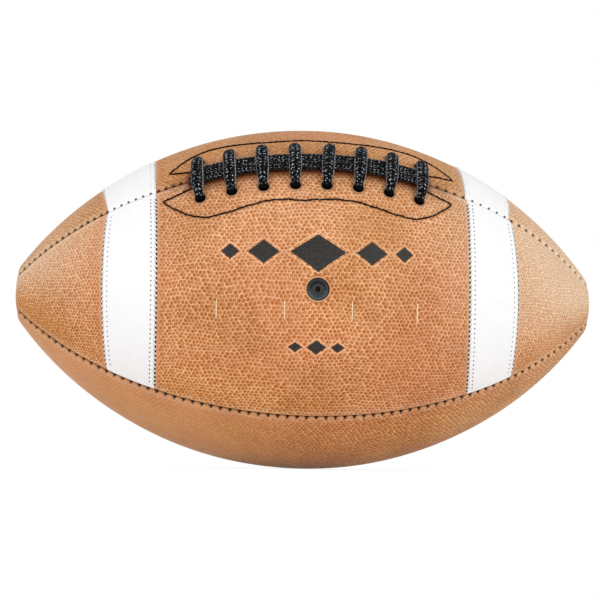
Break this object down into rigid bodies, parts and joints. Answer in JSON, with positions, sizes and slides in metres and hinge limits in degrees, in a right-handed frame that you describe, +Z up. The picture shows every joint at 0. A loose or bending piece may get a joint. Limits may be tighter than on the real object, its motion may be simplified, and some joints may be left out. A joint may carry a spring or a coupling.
{
  "type": "american football",
  "caption": "Inflated oval ball with pointed ends, sewn from pebbled leather panels over a bladder, closed by a braided lace and filled through a needle valve, for throwing and kicking.",
  "frame": {"origin": "centre of the ball, midway between its tips and on the line through them", "axes": "+X along the ball to the tip at the right of the picture, +Z up through the middle of the top panel, -Y out through the valve in the middle of the front panel"},
  "size_m": [0.285, 0.1674, 0.1674],
  "materials": {
    "panel_leather": "pebbled, satin",
    "lining_cloth": "woven",
    "stripe_coating": "pebbled, painted white",
    "facing_leather": "matte",
    "tongue_pad": "woven",
    "lace_braid": "waxed braid",
    "bladder_film": "smooth",
    "valve_rubber": "moulded, matte",
    "plug_rubber": "moulded, matte",
    "thread": "waxed"
  },
  "bodies": {
    "root": {"panel_front": "panel_leather", "panel_top": "panel_leather", "panel_back": "panel_leather", "panel_bottom": "panel_leather", "lining_front": "lining_cloth", "lining_top": "lining_cloth", "lining_back": "lining_cloth", "lining_bottom": "lining_cloth", "stripe_front_left": "stripe_coating", "stripe_front_right": "stripe_coating", "stripe_top_left": "stripe_coating", "stripe_top_right": "stripe_coating", "facing_front": "facing_leather", "facing_top": "facing_leather", "tongue": "tongue_pad", "lace": "lace_braid", "bladder": "bladder_film", "valve_housing": "valve_rubber", "valve_core": "plug_rubber", "seam_thread_laced": "thread", "seam_thread_lower_front": "thread", "seam_thread_lower_back": "thread", "seam_thread_upper_back": "thread", "stripe_thread_front_left": "thread", "stripe_thread_front_right": "thread", "stripe_thread_top_left": "thread", "stripe_thread_top_right": "thread", "facing_thread_front": "thread", "facing_thread_top": "thread"}
  },
  "joints": []
}
